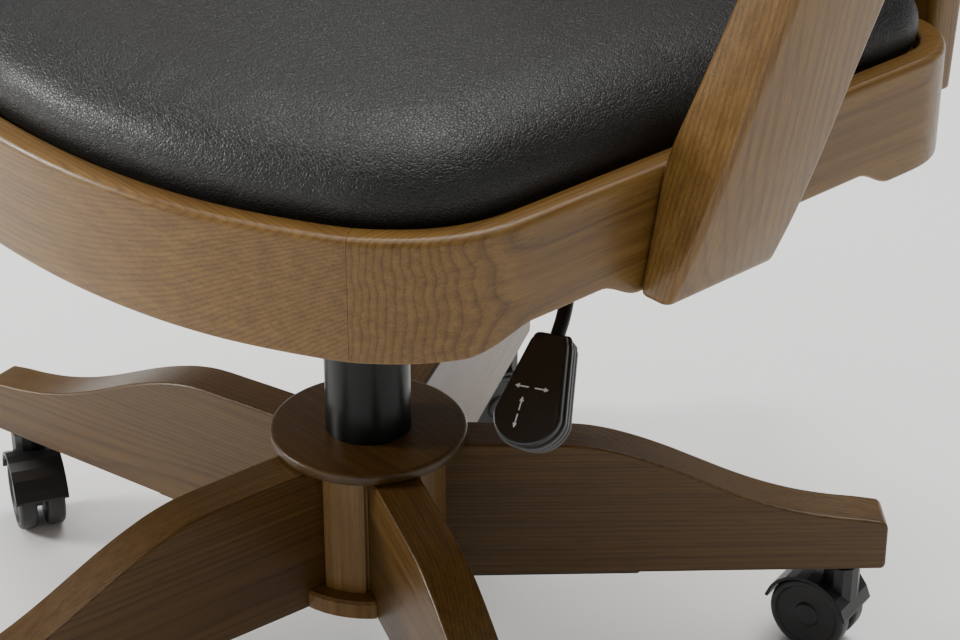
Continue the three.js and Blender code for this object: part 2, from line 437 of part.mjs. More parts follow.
// ---------------------------------------------------------------- casters
legAz.forEach((a, i) => {
  const n = i + 1, M = mul(RZ(a), T(CASTER_R, 0, 0), RZ(180 - 36));
  const off = 15; // trail of the wheel axle behind the stem
  // Hood: a rounded crown over both wheels, with the stem rising from it.
  let hood = toSolid(rod(WHEEL_R + 3.2, -WHEEL_W - 3.4, WHEEL_W + 3.4, 24), mul(T(off, 0, WHEEL_R), RX(90)));
  hood = hood.intersect(toSolid(boxAt(-40, 60, -40, 40, WHEEL_R + 6, 80)));
  hood = hood.subtract(toSolid(rod(WHEEL_R + 1.2, 3, 40, 24), mul(T(off, 0, WHEEL_R), RX(90)))).subtract(toSolid(rod(WHEEL_R + 1.2, -40, -3, 24), mul(T(off, 0, WHEEL_R), RX(90))));
  hood = hood.add(toSolid(boxAt(off - 9, off + 9, -2.6, 2.6, WHEEL_R - 8, WHEEL_R + 16)));
  hood = hood.add(toSolid(rod(11, 40, 63, 12))).add(toSolid(rod(5.5, 58, 94, 12)));
  hood = hood.subtract(toSolid(rod(WHEEL_R + 1.2, 3, 40, 24), mul(T(off, 0, WHEEL_R), RX(90)))).subtract(toSolid(rod(WHEEL_R + 1.2, -40, -3, 24), mul(T(off, 0, WHEEL_R), RX(90))));
  hood = hood.subtract(toSolid(rod(3.4, -50, 50, 10), mul(T(off, 0, WHEEL_R), RX(90))));
  add("caster_" + n + "_fork", hood, plastic, M);
  for (const [k, s] of [["a", 1], ["b", -1]]) {
    const w = turned([[0, 3.4], [WHEEL_R, 3.4], [WHEEL_R, WHEEL_W], [WHEEL_R - 1.4, WHEEL_W + 1.4], [0, WHEEL_W + 1.4]], 24);
    let solid = toSolid(w);
    // Wheel a carries the axle pin; wheel b is bored for it.
    if (s > 0) solid = solid.add(toSolid(rod(2.9, -10, 4, 10)));
    else solid = solid.subtract(toSolid(rod(3.3, -1, 11, 10)));
    add("caster_" + n + "_wheel_" + k, solid, plasticGrey, mul(M, T(off, 0, WHEEL_R), RX(s > 0 ? -90 : 90)));
  }
});

export default chair;
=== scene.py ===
import bpy, bmesh, json
from math import sin, cos, radians, pi, sqrt, hypot
from mathutils import Vector, Matrix, Euler

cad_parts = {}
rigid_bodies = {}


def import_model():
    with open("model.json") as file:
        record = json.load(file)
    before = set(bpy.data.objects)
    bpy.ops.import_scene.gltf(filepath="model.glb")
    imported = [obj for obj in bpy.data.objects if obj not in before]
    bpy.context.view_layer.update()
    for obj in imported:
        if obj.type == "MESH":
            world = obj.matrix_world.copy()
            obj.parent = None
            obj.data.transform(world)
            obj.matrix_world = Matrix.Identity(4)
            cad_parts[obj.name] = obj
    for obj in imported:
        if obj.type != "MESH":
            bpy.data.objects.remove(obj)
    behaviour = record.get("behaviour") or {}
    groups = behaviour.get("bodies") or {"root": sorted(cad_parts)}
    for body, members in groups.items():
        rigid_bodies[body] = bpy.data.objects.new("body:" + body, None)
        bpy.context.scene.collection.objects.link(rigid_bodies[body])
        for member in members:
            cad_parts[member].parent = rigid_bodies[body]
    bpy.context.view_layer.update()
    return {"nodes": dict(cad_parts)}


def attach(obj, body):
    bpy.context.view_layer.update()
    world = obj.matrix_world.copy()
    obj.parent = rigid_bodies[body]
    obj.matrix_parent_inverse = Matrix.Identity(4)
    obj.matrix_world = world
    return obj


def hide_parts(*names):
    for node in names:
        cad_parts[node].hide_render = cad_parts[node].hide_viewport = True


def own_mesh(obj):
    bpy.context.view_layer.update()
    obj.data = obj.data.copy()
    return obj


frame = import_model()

MM = 0.001
scene = bpy.context.scene

# ------------------------------------------------------------------ camera
cam_data = bpy.data.cameras.new("camera")
cam_data.sensor_width = 36.0
cam_data.lens = 90.0
cam = bpy.data.objects.new("camera", cam_data)
scene.collection.objects.link(cam)
scene.camera = cam
CAM_A, CAM_P = radians(48.0), radians(28.6)
cam.location = (0.9384, -0.7572, 0.8902)
look = Vector((-sin(CAM_A) * cos(CAM_P), cos(CAM_A) * cos(CAM_P), -sin(CAM_P)))
cam.rotation_euler = look.to_track_quat("-Z", "Y").to_euler()
cam_data.clip_start = 0.02

# ------------------------------------------------------------------ small helpers
def new_obj(name, verts, faces, smooth=True):
    me = bpy.data.meshes.new(name)
    me.from_pydata([tuple(v) for v in verts], [], faces)
    me.update()
    bm = bmesh.new(); bm.from_mesh(me)
    bmesh.ops.recalc_face_normals(bm, faces=bm.faces)
    bm.to_mesh(me); bm.free()
    ob = bpy.data.objects.new(name, me)
    scene.collection.objects.link(ob)
    if smooth:
        for p in me.polygons: p.use_smooth = True
    return ob

def smooth_angle(ob, deg=40):
    me = ob.data
    for p in me.polygons: p.use_smooth = True
    me.set_sharp_from_angle(angle=radians(deg))

def lathe(name, profile, seg=96, centre=(0, 0, 0), axis="Z", sharp=38):
    """Turned piece. profile: (radius, height) in mm, closed on itself or ending on the axis."""
    closed = abs(profile[0][0] - profile[-1][0]) < 1e-9 and abs(profile[0][1] - profile[-1][1]) < 1e-9
    pts = profile[:-1] if closed else profile
    verts, rows = [], []
    for r, z in pts:
        if r < 1e-6:
            rows.append([len(verts)]); verts.append((0, 0, z * MM))
        else:
            rows.append(list(range(len(verts), len(verts) + seg)))
            for i in range(seg):
                a = 2 * pi * i / seg
                verts.append((r * MM * cos(a), r * MM * sin(a), z * MM))
    faces = []
    pairs = list(zip(rows, rows[1:] + ([rows[0]] if closed else [])))
    if not closed: pairs = pairs[:len(rows) - 1]
    for a, b in pairs:
        for i in range(seg):
            j = (i + 1) % seg
            if len(a) == 1 and len(b) == 1: continue
            if len(a) == 1: faces.append((a[0], b[j], b[i]))
            elif len(b) == 1: faces.append((a[i], a[j], b[0]))
            else: faces.append((a[i], a[j], b[j], b[i]))
    if axis == "X": verts = [(z, x, y) for x, y, z in verts]
    if axis == "Y": verts = [(x, z, -y) for x, y, z in verts]
    c = Vector(centre) * MM
    ob = new_obj(name, [Vector(v) + c for v in verts], faces)
    smooth_angle(ob, sharp)
    return ob

def soft_profile(pts, r, k=3):
    """Rounds the inner corners of an open or closed (radius, height) outline."""
    out = []
    n = len(pts)
    for i, p in enumerate(pts):
        if i == 0 or i == n - 1:
            out.append(p); continue
        a, b = Vector(pts[i - 1]), Vector(pts[i + 1]); c = Vector(p)
        rr = min(r, 0.45 * (a - c).length, 0.45 * (b - c).length)
        s, e = c + (a - c).normalized() * rr, c + (b - c).normalized() * rr
        for t in [j / k for j in range(k + 1)]:
            q = s.lerp(c, t).lerp(c.lerp(e, t), t)
            out.append((q.x, q.y))
    return out

def loft(name, rings, cap=True, sharp=40):
    n = len(rings[0])
    verts = [Vector(p) for r in rings for p in r]
    faces = []
    for k in range(len(rings) - 1):
        for i in range(n):
            j = (i + 1) % n
            faces.append((k * n + i, k * n + j, (k + 1) * n + j, (k + 1) * n + i))
    if cap:
        faces.append(tuple(reversed(range(n))))
        faces.append(tuple(range((len(rings) - 1) * n, len(rings) * n)))
    ob = new_obj(name, verts, faces)
    smooth_angle(ob, sharp)
    return ob

def catmull(pts, n):
    """Centripetal spline through points, n samples by index."""
    P = [Vector(p) for p in pts]
    P = [P[0] * 2 - P[1]] + P + [P[-1] * 2 - P[-2]]
    out = []
    seg = len(P) - 3
    for s in range(n + 1):
        u = s / n * seg
        i = min(int(u), seg - 1); t = u - i
        p0, p1, p2, p3 = P[i:i + 4]
        d1, d2, d3 = [max(1e-9, (b - a).length) ** 0.5 for a, b in ((p0, p1), (p1, p2), (p2, p3))]
        m1 = (p1 - p0) / d1 - (p2 - p0) / (d1 + d2) + (p2 - p1) / d2
        m2 = (p2 - p1) / d2 - (p3 - p1) / (d2 + d3) + (p3 - p2) / d3
        m1 *= d2; m2 *= d2
        t2, t3 = t * t, t * t * t
        out.append(p1 * (2 * t3 - 3 * t2 + 1) + m1 * (t3 - 2 * t2 + t) + p2 * (-2 * t3 + 3 * t2) + m2 * (t3 - t2))
    return out

def respace(pts, step):
    out = [Vector(pts[0])]; acc = 0.0
    L = [0.0]
    for a, b in zip(pts, pts[1:]): L.append(L[-1] + (Vector(b) - Vector(a)).length)
    n = max(2, int(round(L[-1] / step)))
    k = 0
    for i in range(1, n):
        d = L[-1] * i / n
        while L[k + 1] < d: k += 1
        out.append(Vector(pts[k]).lerp(Vector(pts[k + 1]), (d - L[k]) / (L[k + 1] - L[k])))
    out.append(Vector(pts[-1]))
    return out

def round_rect(w, h, r, k=5):
    out = []
    r = min(r, 0.49 * w, 0.49 * h)
    for cx, cy, a0 in ((w / 2 - r, h / 2 - r, 0), (-w / 2 + r, h / 2 - r, 90), (-w / 2 + r, -h / 2 + r, 180), (w / 2 - r, -h / 2 + r, 270)):
        for i in range(k + 1):
            a = radians(a0 + 90 * i / k)
            out.append((cx + r * cos(a), cy + r * sin(a)))
    return out

def sweep(name, points, section, side, ends=2.0, sharp=40):
    """Section (u, v) in mm along a line of points in mm; ends are eased by a small step."""
    side = Vector(side)
    P = [Vector(p) for p in points]
    T = [(P[min(len(P) - 1, i + 1)] - P[max(0, i - 1)]).normalized() for i in range(len(P))]
    rings = []
    def ring(p, t, s, k):
        u = (side - t * t.dot(side)).normalized(); v = t.cross(u)
        c = section(s)
        if k:
            w = max(abs(x) for x, y in c); h = max(abs(y) for x, y in c)
            c = [(x * (1 - k / w), y * (1 - k / h)) for x, y in c]
        return [(p + u * x + v * y) * MM for x, y in c]
    e = ends
    if e:
        for q, k in ((0.0, e), (0.12 * e, 0.5 * e), (0.5 * e, 0.12 * e)):
            rings.append(ring(P[0] + T[0] * q, T[0], 0.0, k))
        P[0] = P[0] + T[0] * e
    for i, p in enumerate(P):
        if e and i == len(P) - 1: p = p - T[-1] * e
        rings.append(ring(p, T[i], i / (len(P) - 1), 0))
    if e:
        for q, k in ((0.5 * e, 0.12 * e), (0.12 * e, 0.5 * e), (0.0, e)):
            rings.append(ring(P[-1] - T[-1] * q, T[-1], 1.0, k))
    return loft(name, rings, sharp=sharp)

def bevel(ob, width, segments=3, angle=35, weight=False):
    m = ob.modifiers.new("edges", "BEVEL")
    m.width = width * MM; m.segments = segments
    m.limit_method = "WEIGHT" if weight else "ANGLE"
    m.angle_limit = radians(angle)
    m.harden_normals = True
    m.miter_outer = "MITER_ARC"
    return m

# ------------------------------------------------------------------ node materials
class N:
    def __init__(self, name):
        self.mat = bpy.data.materials.new(name)
        self.mat.use_nodes = True
        self.t = self.mat.node_tree
        self.t.nodes.clear()
        self.out = self.t.nodes.new("ShaderNodeOutputMaterial")
        self.bsdf = self.t.nodes.new("ShaderNodeBsdfPrincipled")
        self.t.links.new(self.bsdf.outputs[0], self.out.inputs[0])
    def node(self, kind, **kw):
        n = self.t.nodes.new(kind)
        for k, v in kw.items(): setattr(n, k, v)
        return n
    def put(self, socket, v):
        if isinstance(v, bpy.types.NodeSocket): self.t.links.new(v, socket)
        elif isinstance(v, (tuple, list)) and len(v) == 3 and socket.type == "RGBA": socket.default_value = (*v, 1)
        else: socket.default_value = v
    def math(self, op, a, b=0.0, c=0.0, clamp=False):
        n = self.node("ShaderNodeMath", operation=op, use_clamp=clamp)
        self.put(n.inputs[0], a); self.put(n.inputs[1], b); self.put(n.inputs[2], c)
        return n.outputs[0]
    def vec(self, op, a, b=(0, 0, 0), s=1.0):
        n = self.node("ShaderNodeVectorMath", operation=op)
        self.put(n.inputs[0], a); self.put(n.inputs[1], b)
        if op == "SCALE": n.inputs["Scale"].default_value = s
        return n.outputs["Value"] if op in ("LENGTH", "DOT_PRODUCT", "DISTANCE") else n.outputs["Vector"]
    def coords(self):
        return self.node("ShaderNodeTexCoord").outputs["Object"]
    def mapping(self, v, loc=(0, 0, 0), rot=(0, 0, 0), scale=(1, 1, 1)):
        n = self.node("ShaderNodeMapping")
        self.put(n.inputs[0], v)
        n.inputs[1].default_value = loc; n.inputs[2].default_value = rot; n.inputs[3].default_value = scale
        return n.outputs[0]
    def noise(self, v, scale, detail=2.0, rough=0.5, out="Fac", distortion=0.0):
        n = self.node("ShaderNodeTexNoise")
        self.put(n.inputs["Vector"], v); n.inputs["Scale"].default_value = scale
        n.inputs["Detail"].default_value = detail; n.inputs["Roughness"].default_value = rough
        n.inputs["Distortion"].default_value = distortion
        return n.outputs[0] if out == "Fac" else n.outputs[1]
    def voronoi(self, v, scale, feature="F1", out="Distance", rnd=1.0):
        n = self.node("ShaderNodeTexVoronoi", feature=feature)
        self.put(n.inputs["Vector"], v); n.inputs["Scale"].default_value = scale
        n.inputs["Randomness"].default_value = rnd
        return n.outputs[out]
    def ramp(self, f, stops, interp="LINEAR"):
        n = self.node("ShaderNodeValToRGB")
        n.color_ramp.interpolation = interp
        e = n.color_ramp.elements
        while len(e) < len(stops): e.new(0.5)
        for i, (p, c) in enumerate(stops):
            e[i].position = p
            e[i].color = (*c, 1) if isinstance(c, (tuple, list)) else (c, c, c, 1)
        self.put(n.inputs[0], f)
        return n.outputs[0]
    def mix(self, f, a, b, mode="MIX"):
        n = self.node("ShaderNodeMix", data_type="RGBA", blend_type=mode)
        self.put(n.inputs[0], f); self.put(n.inputs[6], a); self.put(n.inputs[7], b)
        return n.outputs[2]
    def bump(self, h, strength, dist, normal=None):
        n = self.node("ShaderNodeBump")
        n.inputs["Strength"].default_value = strength
        n.inputs["Distance"].default_value = dist
        self.put(n.inputs["Height"], h)
        if normal is not None: self.put(n.inputs["Normal"], normal)
        return n.outputs[0]
    def set(self, **kw):
        for k, v in kw.items(): self.put(self.bsdf.inputs[k.replace("_", " ")], v)
        return self

DARK, MID, LIGHT = (0.070, 0.031, 0.0075), (0.138, 0.070, 0.0150), (0.212, 0.118, 0.030)

def wood(name, rot=(0, 0, 0), loc=(0, 0, 0), ring=0.0022, contrast=1.0, wobble=0.004, along=1.0, tone=1.0, rough=0.36, seed=0.0):
    """Stained wood. After rot and loc the grain runs along X and the pith is the X axis."""
    m = N(name)
    p = m.mapping(m.coords(), loc=loc, rot=rot)
    # Slow wander of the growth rings, long along the grain.
    w = m.noise(m.mapping(p, loc=(seed, seed * 1.7, 0), scale=(3.2 * along, 14, 14)), 1.0, 2.0, 0.5, "Color")
    w = m.vec("SCALE", m.vec("SUBTRACT", w, (0.5, 0.5, 0.5)), s=wobble * 2)
    q = m.vec("MULTIPLY", m.vec("ADD", p, w), (0.0, 1.0, 1.0))
    r = m.vec("LENGTH", q)
    uneven = m.noise(m.mapping(p, scale=(0.0, 60, 60)), 1.0, 1.0)
    phase = m.math("ADD", m.math("DIVIDE", r, ring), m.math("MULTIPLY", uneven, 1.6))
    f = m.math("FRACT", phase)
    ringv = m.ramp(f, [(0.0, 0.62), (0.12, 0.95), (0.45, 1.0), (0.80, 0.62), (0.93, 0.18), (1.0, 0.62)], "EASE")
    # Fibres and pores.
    fib = m.noise(m.mapping(p, scale=(22, 1100, 1100)), 1.0, 3.0, 0.6)
    fib2 = m.noise(m.mapping(p, scale=(6, 260, 260)), 1.0, 2.0, 0.5)
    pore = m.noise(m.mapping(p, loc=(3, 1, 2), scale=(75, 2300, 2300)), 1.0, 1.0, 0.5)
    porev = m.ramp(pore, [(0.60, 0.0), (0.70, 1.0)])
    big = m.noise(m.mapping(p, loc=(seed, 0, 1), scale=(2.2, 11, 11)), 1.0, 2.0, 0.5)
    v = m.math("MULTIPLY_ADD", ringv, 0.50 * contrast, 0.50 - 0.28 * contrast)
    v = m.math("ADD", v, m.math("MULTIPLY", m.math("SUBTRACT", fib, 0.5), 0.75))
    v = m.math("ADD", v, m.math("MULTIPLY", m.math("SUBTRACT", fib2, 0.5), 0.80))
    v = m.math("ADD", v, m.math("MULTIPLY", m.math("SUBTRACT", big, 0.5), 0.45), clamp=True)
    t = lambda c: tuple(x * tone for x in c)
    col = m.ramp(v, [(0.0, t(DARK)), (0.5, t(MID)), (1.0, t(LIGHT))])
    col = m.mix(m.math("MULTIPLY", porev, 0.45), col, t((0.045, 0.022, 0.010)))
    ro = m.math("MULTIPLY_ADD", fib2, 0.16, rough - 0.08)
    h = m.math("SUBTRACT", m.math("MULTIPLY", m.math("ADD", fib, m.math("MULTIPLY", ringv, 0.5)), 0.5), m.math("MULTIPLY", porev, 0.8))
    n = m.bump(h, 0.26, 0.0003)
    m.set(Base_Color=col, Roughness=ro, Normal=n)
    m.bsdf.inputs["Coat Weight"].default_value = 0.10
    m.bsdf.inputs["Coat Roughness"].default_value = 0.22
    m.bsdf.inputs["IOR"].default_value = 1.42
    m.bsdf.inputs["Specular IOR Level"].default_value = 0.42
    return m.mat

def leather_mat(name):
    m = N(name)
    p = m.coords()
    w = m.vec("SCALE", m.vec("SUBTRACT", m.noise(p, 260, 2.0, 0.5, "Color"), (0.5, 0.5, 0.5)), s=0.0016)
    q = m.vec("ADD", p, w)
    q2 = m.vec("ADD", p, m.vec("SCALE", m.vec("SUBTRACT", m.noise(p, 90, 1.0, 0.5, "Color"), (0.5, 0.5, 0.5)), s=0.004))
    cell = m.voronoi(q, 620, "DISTANCE_TO_EDGE")
    crease = m.ramp(cell, [(0.0, 0.0), (0.16, 0.75), (0.45, 1.0)], "EASE")
    big = m.voronoi(q2, 190, "DISTANCE_TO_EDGE")
    fold = m.ramp(big, [(0.0, 0.0), (0.10, 0.8), (0.3, 1.0)], "EASE")
    fine = m.noise(p, 1900, 2.0, 0.6)
    patch = m.noise(p, 16, 2.0, 0.5)
    depth = m.math("MULTIPLY_ADD", patch, 0.9, 0.35)
    h = m.math("ADD", m.math("MULTIPLY", crease, 0.55), m.math("MULTIPLY", fold, 0.38))
    h = m.math("ADD", h, m.math("MULTIPLY", fine, 0.10))
    h = m.math("MULTIPLY", h, depth)
    # Painted shade: the colour is darker down in the grain creases.
    col = m.mix(crease, (0.0035, 0.0035, 0.0032), (0.0085, 0.0084, 0.0076))
    col = m.mix(m.math("MULTIPLY", patch, 0.5), col, (0.0115, 0.0112, 0.0102))
    ro = m.math("ADD", m.math("MULTIPLY_ADD", crease, -0.10, 0.47), m.math("MULTIPLY", m.math("SUBTRACT", patch, 0.5), 0.10))
    n = m.bump(h, 0.75, 0.00050)
    m.set(Base_Color=col, Roughness=ro, Normal=n)
    m.bsdf.inputs["Specular IOR Level"].default_value = 0.42
    m.bsdf.inputs["Sheen Weight"].default_value = 0.02
    m.bsdf.inputs["Sheen Roughness"].default_value = 0.4
    return m.mat

def enamel(name, col, rough, coat=0.6):
    m = N(name)
    p = m.coords()
    o = m.noise(p, 420, 2.0, 0.5)
    d = m.noise(p, 38, 3.0, 0.6)
    dust = m.ramp(m.noise(p, 900, 2.0, 0.7), [(0.66, 0.0), (0.78, 1.0)])
    c = m.mix(m.math("MULTIPLY", dust, 0.05), col, tuple(min(1, x * 4 + 0.02) for x in col))
    m.set(Base_Color=c, Roughness=m.math("MULTIPLY_ADD", d, 0.10, rough - 0.05), Normal=m.bump(o, 0.05, 0.00008))
    m.bsdf.inputs["Coat Weight"].default_value = coat
    m.bsdf.inputs["Coat Roughness"].default_value = 0.08
    m.bsdf.inputs["Specular IOR Level"].default_value = 0.26
    return m.mat

def steel(name, col=(0.55, 0.56, 0.57), rough=0.28, axis=2):
    m = N(name)
    p = m.coords()
    sc = [900, 900, 900]; sc[axis] = 30
    s = m.noise(m.mapping(p, scale=tuple(sc)), 1.0, 3.0, 0.6)
    d = m.noise(p, 55, 3.0, 0.6)
    c = m.mix(m.math("MULTIPLY", d, 0.6), col, tuple(x * 0.72 for x in col))
    m.set(Base_Color=c, Roughness=m.math("ADD", m.math("MULTIPLY", s, 0.16), rough - 0.08), Normal=m.bump(s, 0.06, 0.00006))
    m.bsdf.inputs["Metallic"].default_value = 1.0
    return m.mat

def plastic(name, col, rough=0.42, grain=1500, bump=0.18):
    m = N(name)
    p = m.coords()
    g = m.voronoi(p, grain, "SMOOTH_F1")
    g2 = m.noise(p, grain * 0.7, 2.0, 0.6)
    d = m.noise(p, 45, 3.0, 0.6)
    c = m.mix(m.math("MULTIPLY", d, 0.5), col, tuple(x * 1.35 for x in col))
    m.set(Base_Color=c, Roughness=m.math("MULTIPLY_ADD", d, 0.14, rough - 0.07), Normal=m.bump(m.math("ADD", g, g2), bump, 0.00007))
    return m.mat

def powder(name, col=(0.014, 0.014, 0.015), rough=0.5):
    m = N(name)
    p = m.coords()
    g = m.noise(p, 1500, 2.0, 0.6)
    d = m.noise(p, 30, 3.0, 0.6)
    c = m.mix(m.math("MULTIPLY", d, 0.4), col, tuple(x * 1.6 for x in col))
    m.set(Base_Color=c, Roughness=m.math("MULTIPLY_ADD", d, 0.16, rough - 0.08), Normal=m.bump(g, 0.28, 0.0001))
    m.bsdf.inputs["Specular IOR Level"].default_value = 0.5
    return m.mat

M_LEATHER = leather_mat("black_leather")
M_COLUMN = enamel("column_enamel", (0.0045, 0.0048, 0.0045), 0.30, 0.0)
M_STEEL = steel("bright_steel")
M_BSTEEL = powder("black_steel")
M_PLASTIC = plastic("black_plastic", (0.0075, 0.0075, 0.0078), 0.36)
M_TOPPLATE = plastic("paddle_face", (0.0040, 0.0040, 0.0042), 0.30, 2200, 0.10)
M_GREY = plastic("grey_plastic", (0.034, 0.034, 0.033), 0.50)
M_TREAD = plastic("wheel_plastic", (0.014, 0.014, 0.0145), 0.48)
M_RUBBER = plastic("rubber_black", (0.010, 0.010, 0.011), 0.72, 700, 0.3)
M_MARK = plastic("pad_print", (0.42, 0.44, 0.45), 0.5, 1500, 0.05)
M_PLY = wood("plywood", ring=0.0014, contrast=0.5, tone=2.6, rough=0.6)

def give(ob, mat):
    ob.data.materials.clear(); ob.data.materials.append(mat)
    return ob

def piece(ob, body, mat, slot, *nodes):
    give(ob, mat)
    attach(ob, body)
    if nodes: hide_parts(*nodes)
    return ob

# ------------------------------------------------------------------ base
LEG_AZ = [49.5 + 72 * i for i in range(5)]
Z0 = 66.3
leg_top = [(34.3, 157.2), (60, 157.2), (95, 156.3), (125, 155.1), (141, 152.1), (158.5, 146.6), (176, 139.6), (195, 130.8),
           (215, 121.5), (235, 113.6), (255, 107.6), (275, 103.6), (292, 101.4), (303, 99.6)]
fine_top = [(34.3, 157.2)] + [(v.x, v.y) for v in respace(catmull([(v[0], v[1], 0) for v in leg_top[1:]], 100), 3.2)]
nose = []
for i in range(1, 8):
    a = radians(84 * (1 - i / 7.0))
    nose.append((303 + 6.0 * cos(a), 93.6 + 6.0 * sin(a)))
leg_outline = [(34.3, Z0), (306.5, Z0), (308.4, Z0 + 0.8), (309.2, Z0 + 2.7)] + list(reversed(fine_top + nose))
for i, az in enumerate(LEG_AZ):
    W = 14.0
    n = len(leg_outline)
    verts = [Vector((x, -W, z)) * MM for x, z in leg_outline] + [Vector((x, W, z)) * MM for x, z in leg_outline]
    R = Matrix.Rotation(radians(az), 4, "Z")
    verts = [R @ v for v in verts]
    faces = [tuple(range(n)), tuple(reversed(range(n, 2 * n)))] + [(j, (j + 1) % n, n + (j + 1) % n, n + j) for j in range(n)]
    ob = new_obj("leg_%d" % (i + 1), verts, faces)
    me = ob.data
    wl = me.attributes.new("bevel_weight_edge", "FLOAT", "EDGE")
    Ri = R.inverted()
    for e in me.edges:
        a, b = [Ri @ me.vertices[k].co for k in e.vertices]
        if abs(a.y - b.y) > 1e-4: continue
        zm = (a.z + b.z) / 2; xm = (a.x + b.x) / 2
        if xm < 0.0345: continue
        wl.data[e.index].value = 1.0 if zm > 0.0672 else 0.35
    smooth_angle(ob, 35)
    bevel(ob, 3.4, 4, weight=True)
    # Painted shade: tone 0.57 makes the leg wood darker than the seat frame, standing in for the shade under the seat.
    mat = wood("wood_leg_%d" % (i + 1), rot=(0, 0, -radians(az)), loc=(0.0, -0.052 - 0.006 * i, -0.035 - 0.02 * i), ring=0.0021,
               contrast=0.85, wobble=0.0030, tone=0.57, seed=1.3 * i)
    piece(ob, "base", mat, "wood", "base_leg_%d" % (i + 1))

cap = lathe("hub_cap_disc", soft_profile([(25.2, 165), (58, 165), (58, 157.5), (25.2, 157.5)], 3.0, 5) + [(25.2, 165)], 160)
# The cap is a dark brown piece; its low tone 0.40 also holds painted shade from the seat above.
piece(cap, "base", wood("wood_cap", loc=(0, 0.11, 0.02), ring=0.0030, contrast=0.5, tone=0.40, rough=0.32), "wood", "hub_cap")
for nm in ("hub_core", "hub_bottom_disc"):
    ob = frame["nodes"][nm]
    smooth = bevel(ob, 0.9, 3, 50)
    give(ob, wood("wood_" + nm, rot=(0, radians(90), 0), loc=(0, 0.07, 0.05), ring=0.0024, contrast=0.6, tone=0.98, seed=4.0))
col = lathe("column_outer_tube", soft_profile([(22.4, 74), (22.4, 318), (25, 318), (25, 80), (23.6, 60.5), (11, 60.5), (11, 74), (22.4, 74)], 0.9, 3), 128)
piece(col, "base", M_COLUMN, "column_enamel", "column_tube")
bush = lathe("column_guide_bush", soft_profile([(14.35, 250), (14.35, 321), (23.8, 321), (24.6, 318.3), (22.1, 318.3), (22.1, 250), (14.35, 250)], 0.8, 3), 96)
piece(bush, "base", M_PLASTIC, "black_plastic", "column_bush")
give(frame["nodes"]["spider_plate"], M_BSTEEL); bevel(frame["nodes"]["spider_plate"], 0.5, 2, 50)

# ------------------------------------------------------------------ column insides
cyl = lathe("pressure_tube", soft_profile([(11, 112), (11, 296), (4.4, 300), (4.4, 352), (13, 352), (14, 330), (14, 112), (11, 112)], 0.8, 3), 96)
piece(cyl, "chassis", M_STEEL, "bright_steel", "gas_cylinder")
for nm, mat in (("piston_rod", M_STEEL), ("thrust_bearing", M_STEEL), ("rod_clip", M_STEEL), ("rubber_buffer", M_RUBBER), ("release_button", M_STEEL)):
    ob = frame["nodes"][nm]; give(ob, mat); bevel(ob, 0.35, 2, 50)

# ------------------------------------------------------------------ seat frame
SX, BY, BR = 239.3, 228.0, 46.0
corner = [(238, -112), (232.4, -131), (223.5, -147), (212.4, -160), (199.3, -172), (183, -181.6), (166, -190.5),
          (140, -202), (110, -211.6), (75, -219), (40, -223.2), (0, -224.6)]
half = [(0, BY, 0), (SX - BR, BY, 0)]
for i in range(1, 25):
    t = radians(90 - 90 * i / 24)
    half.append((SX - BR + BR * cos(t), BY - BR + BR * sin(t), 0))
half += [(SX, 90, 0), (SX, -60, 0)]
curve = catmull([(SX, -60, 0), (SX, -75, 0), (SX, -88.7, 0)] + [(x, y, 0) for x, y in corner] + [(-40, -223.2, 0)], 300)
curve = [v for v in curve if v.y < -60.5 and v.x > 0.8]
half = [Vector(v) for v in half] + curve + [Vector((0, -224.6, 0))]
half = respace(half, 3.0)
# Smooth the facets of the sampled points a little; the ends stay.
for _ in range(6):
    half = [half[0]] + [half[i] * 0.5 + (half[i - 1] + half[i + 1]) * 0.25 for i in range(1, len(half) - 1)] + [half[-1]]
OUT = half + [Vector((-v.x, v.y, 0)) for v in reversed(half[1:-1])]   # clockwise seen from above
n_out = len(OUT)
def inward(i):
    a, b = OUT[(i - 1) % n_out], OUT[(i + 1) % n_out]
    t = (b - a).normalized()
    return Vector((t.y, -t.x, 0))
INW = [inward(i) for i in range(n_out)]

RIM, APR, REB, RT, RF = 417.0, 354.5, 397.0, 14.0, 26.0
def smoothstep(v):
    v = max(0.0, min(1.0, v)); return v * v * (3 - 2 * v)
def lift_at(p):
    """How far the lower edge rises on the side rails."""
    if abs(p.x) < 150: return 0.0
    for y0, y1 in ((-131, -25), (48, 160)):
        if y0 < p.y < y1:
            return 10.0 * smoothstep((p.y - y0) / 38.0) * smoothstep((y1 - p.y) / 26.0)
    return 0.0
def rail_section(up):
    """(depth inwards, height) of a rail, outer foot first; the edges are rounded."""
    b = APR + up
    s = []
    def arc(cx, cz, r, a0, a1, k):
        for i in range(k + 1):
            a = radians(a0 + (a1 - a0) * i / k)
            s.append((cx + r * cos(a), cz + r * sin(a)))
    arc(2.0, b + 2.0, 2.0, 270, 180, 5)            # outer lower edge
    for z in (b + 12, (b + RIM) / 2, RIM - 14): s.append((0, z))
    arc(4.2, RIM - 4.2, 4.2, 180, 90, 8)           # outer rim edge
    arc(RT - 2.2, RIM - 2.2, 2.2, 90, 0, 4)        # inner rim edge
    s.append((RT, REB)); s.append((RF, REB))
    s.append((RF, b + 1.0)); s.append((RF - 1.0, b))
    return s
def rail(name, idx, mat, node):
    rings = []
    for i in idx:
        p, w = OUT[i % n_out], INW[i % n_out]
        rings.append([Vector((p.x + w.x * d, p.y + w.y * d, z)) * MM for d, z in rail_section(lift_at(p))])
    # The end faces stand 0.08 mm back from the glue joint.
    for k, j in ((0, 1), (-1, -2)):
        t = (rings[j][0] - rings[k][0]).normalized() * 0.00008
        rings[k] = [v + t for v in rings[k]]
    ob = loft(name, rings, sharp=42)
    return piece(ob, "seat", mat, "wood", node)
def nearest(x, y):
    return min(range(n_out), key=lambda i: hypot(OUT[i].x - x, OUT[i].y - y))
j_fl, j_bl = nearest(200.3, -171.2), nearest(225.9, 214.6)
j_fr, j_br = nearest(-200.3, -171.2), nearest(-225.9, 214.6)
